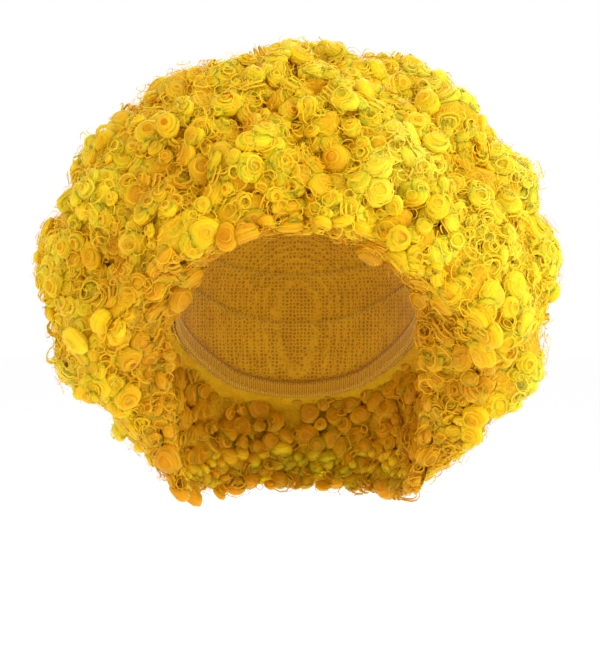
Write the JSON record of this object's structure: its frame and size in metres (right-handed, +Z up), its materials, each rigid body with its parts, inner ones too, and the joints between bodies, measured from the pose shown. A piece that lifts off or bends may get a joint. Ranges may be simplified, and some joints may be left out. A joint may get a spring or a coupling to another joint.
{
  "type": "clown wig",
  "caption": "Curly afro party wig: an elastic net cap with a stretch band in its rim, covered by ring rows of soft curly hair that leave the face open.",
  "frame": {"origin": "the point inside the net cap that sits on the top of the head", "axes": "+Z up, out of the top of the head; the wearer faces -Y; +X towards the wearer's left hand"},
  "size_m": [0.3253, 0.3083, 0.2859],
  "materials": {
    "net": "matte knitted elastic net",
    "band": "matte ribbed elastic",
    "hair": "soft synthetic curls with a slight sheen"
  },
  "bodies": {
    "root": {"net_cap": "net", "rim_band": "band", "hair_crown": "hair", "hair_row_1": "hair", "hair_row_2": "hair", "hair_row_3": "hair", "hair_row_4": "hair", "hair_row_5": "hair", "hair_hanging_row": "hair"}
  },
  "joints": []
}
